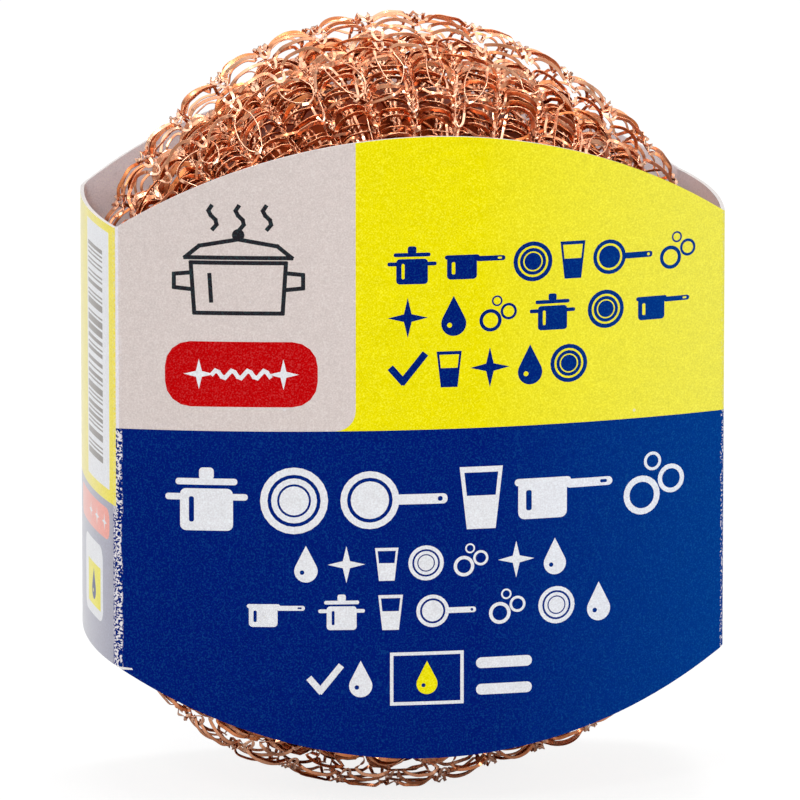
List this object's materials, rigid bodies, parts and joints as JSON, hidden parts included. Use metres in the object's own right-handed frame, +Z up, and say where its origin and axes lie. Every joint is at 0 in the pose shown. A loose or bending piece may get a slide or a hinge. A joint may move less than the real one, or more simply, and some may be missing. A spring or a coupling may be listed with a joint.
{
  "type": "pot scrubber",
  "caption": "Knitted copper wire scouring pad, squeezed in an open printed paperboard sleeve that slides off it.",
  "frame": {"origin": "on the table, under the middle of the object as it stands on the flattened bottom of the pad's rim", "axes": "+Z up along the sleeve's open direction, the front panel facing -Y, +X to the right seen from the front"},
  "size_m": [0.0754, 0.0432, 0.0925],
  "materials": {
    "copper_knit": "satin",
    "copper_draw_wire": "satin",
    "printed_board": "satin",
    "dried_glue": "matte"
  },
  "bodies": {
    "pad": {"outer_knit_layer": "copper_knit", "inner_knit_layer": "copper_knit", "core_roll": "copper_knit", "front_draw_wire": "copper_draw_wire", "back_draw_wire": "copper_draw_wire"},
    "sleeve": {"front_panel": "printed_board", "left_side_panel": "printed_board", "back_panel": "printed_board", "right_side_panel": "printed_board", "glue_flap": "printed_board", "glue_line": "dried_glue"}
  },
  "joints": [
    {"name": "sleeve_slide", "type": "slide", "parent": "pad", "child": "sleeve", "axis": [0, 0, 1], "range_m": [-0.0065, 0.087]}
  ]
}
